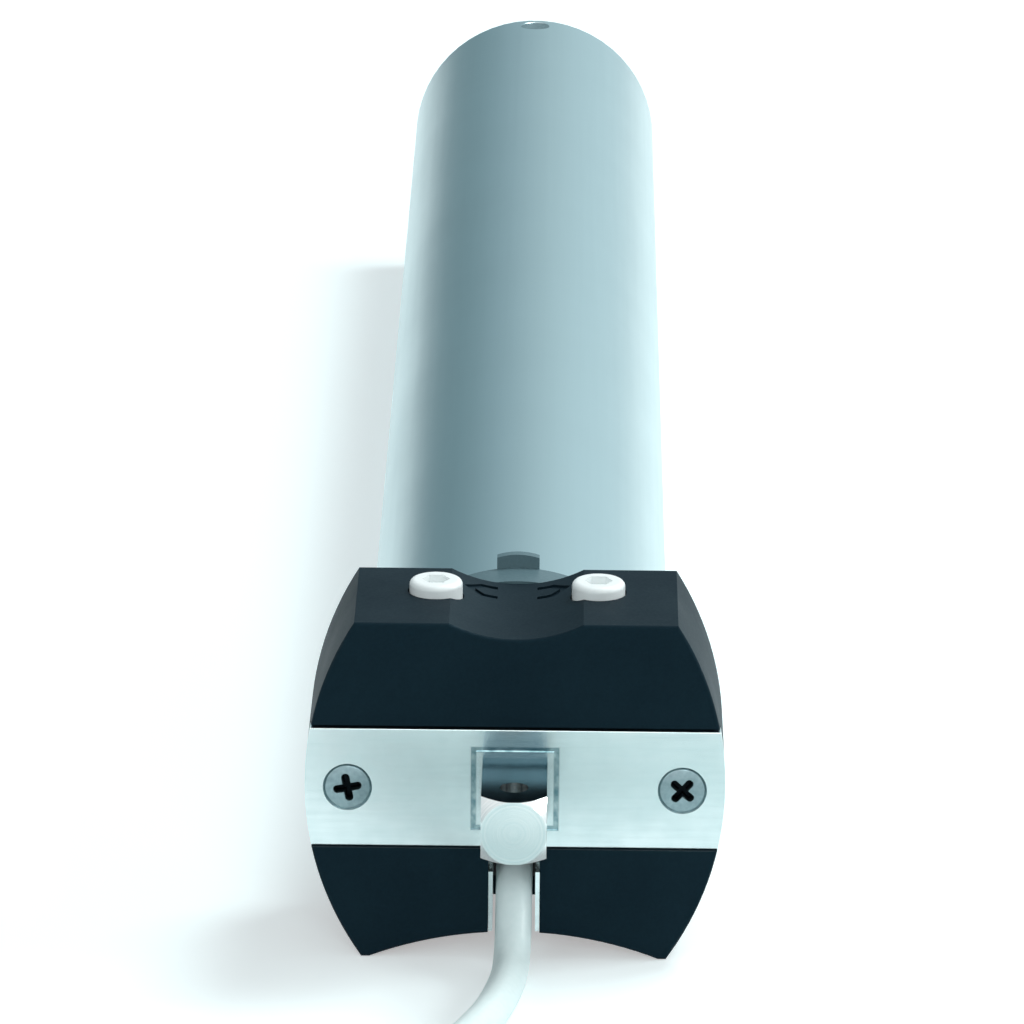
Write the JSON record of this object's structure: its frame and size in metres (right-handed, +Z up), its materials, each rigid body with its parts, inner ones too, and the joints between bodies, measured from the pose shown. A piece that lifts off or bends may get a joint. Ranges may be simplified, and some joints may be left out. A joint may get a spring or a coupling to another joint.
{
  "type": "tubular roller blind motor",
  "caption": "Tubular blind motor: black moulded head with steel plate and square pin, white limit adjusters, crown ring, steel tube with planetary drive, and a supply lead.",
  "frame": {"origin": "on the motor's axis, in the front face of the steel plate", "axes": "+Y along the axis from the head to the output shaft, +Z up through the adjusters, the square pin points to -Y"},
  "size_m": [0.127, 0.6691, 0.0678],
  "materials": {
    "black_plastic": "satin moulded",
    "zinc_steel": "zinc plated",
    "turned_steel": "turned",
    "screw_steel": "zinc plated",
    "white_plastic": "satin moulded",
    "natural_plastic": "moulded",
    "red_plastic": "moulded",
    "grey_plastic": "moulded",
    "rubber": "matte",
    "tube_steel": "drawn",
    "capacitor_case": "drawn",
    "foam": "matte foam",
    "cast_zinc": "cast",
    "bronze": "sintered",
    "core_steel": "laminated",
    "copper": "enamelled",
    "lining": "matte",
    "gear_steel": "sintered",
    "spring_steel": "blackened",
    "cable_jacket": "satin",
    "tin": "tinned",
    "core_brown": "extruded",
    "core_blue": "extruded",
    "core_black": "extruded",
    "core_earth": "extruded"
  },
  "bodies": {
    "housing": {"head_housing": "black_plastic", "spigot": "black_plastic", "spigot_screws": "zinc_steel", "front_plate": "zinc_steel", "square_pin": "turned_steel", "plate_screws": "screw_steel", "limit_frame": "black_plastic", "switch_left": "red_plastic", "switch_right": "red_plastic", "cable_clip": "zinc_steel", "cable_grommet": "rubber", "terminal_block": "natural_plastic", "motor_tube": "tube_steel", "tube_screws": "screw_steel", "capacitor": "capacitor_case", "capacitor_sleeve": "foam", "motor_shield_front": "cast_zinc", "stator_core": "core_steel", "windings": "copper", "motor_shield_rear": "cast_zinc", "rotor_bushes": "bronze", "brake_lining": "lining", "gear_flange": "cast_zinc", "ring_gear": "gear_steel", "output_bush": "bronze", "end_cover": "cast_zinc", "cable": "cable_jacket", "cable_coil": "cable_jacket", "ferrules": "tin", "core_brown": "core_brown", "core_blue": "core_blue", "core_black": "core_black", "core_earth": "core_earth"},
    "rotor": {"rotor_core": "core_steel", "rotor_shaft": "turned_steel", "brake_spring": "turned_steel"},
    "brake_armature": {"brake_disc": "turned_steel"},
    "crown": {"crown_ring": "grey_plastic"},
    "limit_drive": {"limit_pinion": "natural_plastic"},
    "cam": {"cam_wheel": "natural_plastic"},
    "left_adjuster": {"adjuster_left": "white_plastic"},
    "right_adjuster": {"adjuster_right": "white_plastic"},
    "left_set_wheel": {"set_wheel_left": "natural_plastic"},
    "right_set_wheel": {"set_wheel_right": "natural_plastic"},
    "first_carrier": {"carrier_1": "gear_steel", "planet_pins_1": "turned_steel"},
    "second_carrier": {"carrier_2": "gear_steel", "planet_pins_2": "turned_steel"},
    "output": {"output_shaft": "turned_steel", "planet_pins_3": "turned_steel", "circlip": "spring_steel"},
    "planet_1_1_gear": {"planet_1_1": "gear_steel"},
    "planet_1_2_gear": {"planet_1_2": "gear_steel"},
    "planet_1_3_gear": {"planet_1_3": "gear_steel"},
    "planet_2_1_gear": {"planet_2_1": "gear_steel"},
    "planet_2_2_gear": {"planet_2_2": "gear_steel"},
    "planet_2_3_gear": {"planet_2_3": "gear_steel"},
    "planet_3_1_gear": {"planet_3_1": "gear_steel"},
    "planet_3_2_gear": {"planet_3_2": "gear_steel"},
    "planet_3_3_gear": {"planet_3_3": "gear_steel"}
  },
  "joints": [
    {"name": "rotor_spin", "type": "hinge", "parent": "housing", "child": "rotor", "pos_m": [0, 0.3, 0], "axis": [0, 1, 0], "continuous": true},
    {"name": "brake_release", "type": "slide", "parent": "rotor", "child": "brake_armature", "axis": [0, -1, 0], "range_m": [0, 0.0005], "stiffness_N_per_m": 1500},
    {"name": "first_carrier_spin", "type": "hinge", "parent": "housing", "child": "first_carrier", "pos_m": [0, 0.42, 0], "axis": [0, 1, 0], "continuous": true},
    {"name": "planet_1_1_spin", "type": "hinge", "parent": "first_carrier", "child": "planet_1_1_gear", "pos_m": [0, 0.42, 0.01485], "axis": [0, 1, 0], "continuous": true},
    {"name": "planet_1_2_spin", "type": "hinge", "parent": "first_carrier", "child": "planet_1_2_gear", "pos_m": [-0.01286, 0.42, -0.00743], "axis": [0, 1, 0], "continuous": true},
    {"name": "planet_1_3_spin", "type": "hinge", "parent": "first_carrier", "child": "planet_1_3_gear", "pos_m": [0.01286, 0.42, -0.00743], "axis": [0, 1, 0], "continuous": true},
    {"name": "second_carrier_spin", "type": "hinge", "parent": "housing", "child": "second_carrier", "pos_m": [0, 0.42, 0], "axis": [0, 1, 0], "continuous": true},
    {"name": "planet_2_1_spin", "type": "hinge", "parent": "second_carrier", "child": "planet_2_1_gear", "pos_m": [0, 0.42, 0.01485], "axis": [0, 1, 0], "continuous": true},
    {"name": "planet_2_2_spin", "type": "hinge", "parent": "second_carrier", "child": "planet_2_2_gear", "pos_m": [-0.01286, 0.42, -0.00743], "axis": [0, 1, 0], "continuous": true},
    {"name": "planet_2_3_spin", "type": "hinge", "parent": "second_carrier", "child": "planet_2_3_gear", "pos_m": [0.01286, 0.42, -0.00743], "axis": [0, 1, 0], "continuous": true},
    {"name": "output_spin", "type": "hinge", "parent": "housing", "child": "output", "pos_m": [0, 0.42, 0], "axis": [0, 1, 0], "continuous": true},
    {"name": "planet_3_1_spin", "type": "hinge", "parent": "output", "child": "planet_3_1_gear", "pos_m": [0, 0.42, 0.01485], "axis": [0, 1, 0], "continuous": true},
    {"name": "planet_3_2_spin", "type": "hinge", "parent": "output", "child": "planet_3_2_gear", "pos_m": [-0.01286, 0.42, -0.00743], "axis": [0, 1, 0], "continuous": true},
    {"name": "planet_3_3_spin", "type": "hinge", "parent": "output", "child": "planet_3_3_gear", "pos_m": [0.01286, 0.42, -0.00743], "axis": [0, 1, 0], "continuous": true},
    {"name": "crown_spin", "type": "hinge", "parent": "housing", "child": "crown", "pos_m": [0, 0.037, 0], "axis": [0, 1, 0], "continuous": true},
    {"name": "limit_pinion_spin", "type": "hinge", "parent": "housing", "child": "limit_drive", "pos_m": [0, 0.035, -0.0224], "axis": [0, 1, 0], "continuous": true},
    {"name": "cam_spin", "type": "hinge", "parent": "housing", "child": "cam", "pos_m": [0, 0.047, -0.0074], "axis": [0, 1, 0], "continuous": true},
    {"name": "left_adjuster_turn", "type": "hinge", "parent": "housing", "child": "left_adjuster", "pos_m": [-0.0151, 0.0186, 0.02], "axis": [0, 0, 1], "continuous": true},
    {"name": "left_set_wheel_turn", "type": "hinge", "parent": "housing", "child": "left_set_wheel", "pos_m": [-0.00874, 0.02496, 0.006], "axis": [0, 0, 1], "continuous": true},
    {"name": "right_adjuster_turn", "type": "hinge", "parent": "housing", "child": "right_adjuster", "pos_m": [0.0151, 0.0186, 0.02], "axis": [0, 0, 1], "continuous": true},
    {"name": "right_set_wheel_turn", "type": "hinge", "parent": "housing", "child": "right_set_wheel", "pos_m": [0.00874, 0.02496, 0.006], "axis": [0, 0, 1], "continuous": true}
  ],
  "couplings": [
    {"joint": "first_carrier_spin", "follows": "rotor_spin", "ratio": 0.22222},
    {"joint": "planet_1_1_spin", "follows": "rotor_spin", "ratio": -0.62222},
    {"joint": "planet_1_2_spin", "follows": "rotor_spin", "ratio": -0.62222},
    {"joint": "planet_1_3_spin", "follows": "rotor_spin", "ratio": -0.62222},
    {"joint": "second_carrier_spin", "follows": "rotor_spin", "ratio": 0.049383},
    {"joint": "planet_2_1_spin", "follows": "rotor_spin", "ratio": -0.13827},
    {"joint": "planet_2_2_spin", "follows": "rotor_spin", "ratio": -0.13827},
    {"joint": "planet_2_3_spin", "follows": "rotor_spin", "ratio": -0.13827},
    {"joint": "output_spin", "follows": "rotor_spin", "ratio": 0.010974},
    {"joint": "planet_3_1_spin", "follows": "rotor_spin", "ratio": -0.030727},
    {"joint": "planet_3_2_spin", "follows": "rotor_spin", "ratio": -0.030727},
    {"joint": "planet_3_3_spin", "follows": "rotor_spin", "ratio": -0.030727},
    {"joint": "limit_pinion_spin", "follows": "crown_spin", "ratio": 5.6667},
    {"joint": "cam_spin", "follows": "crown_spin", "ratio": -1.4167},
    {"joint": "left_set_wheel_turn", "follows": "left_adjuster_turn", "ratio": -0.5},
    {"joint": "right_set_wheel_turn", "follows": "right_adjuster_turn", "ratio": -0.5}
  ]
}
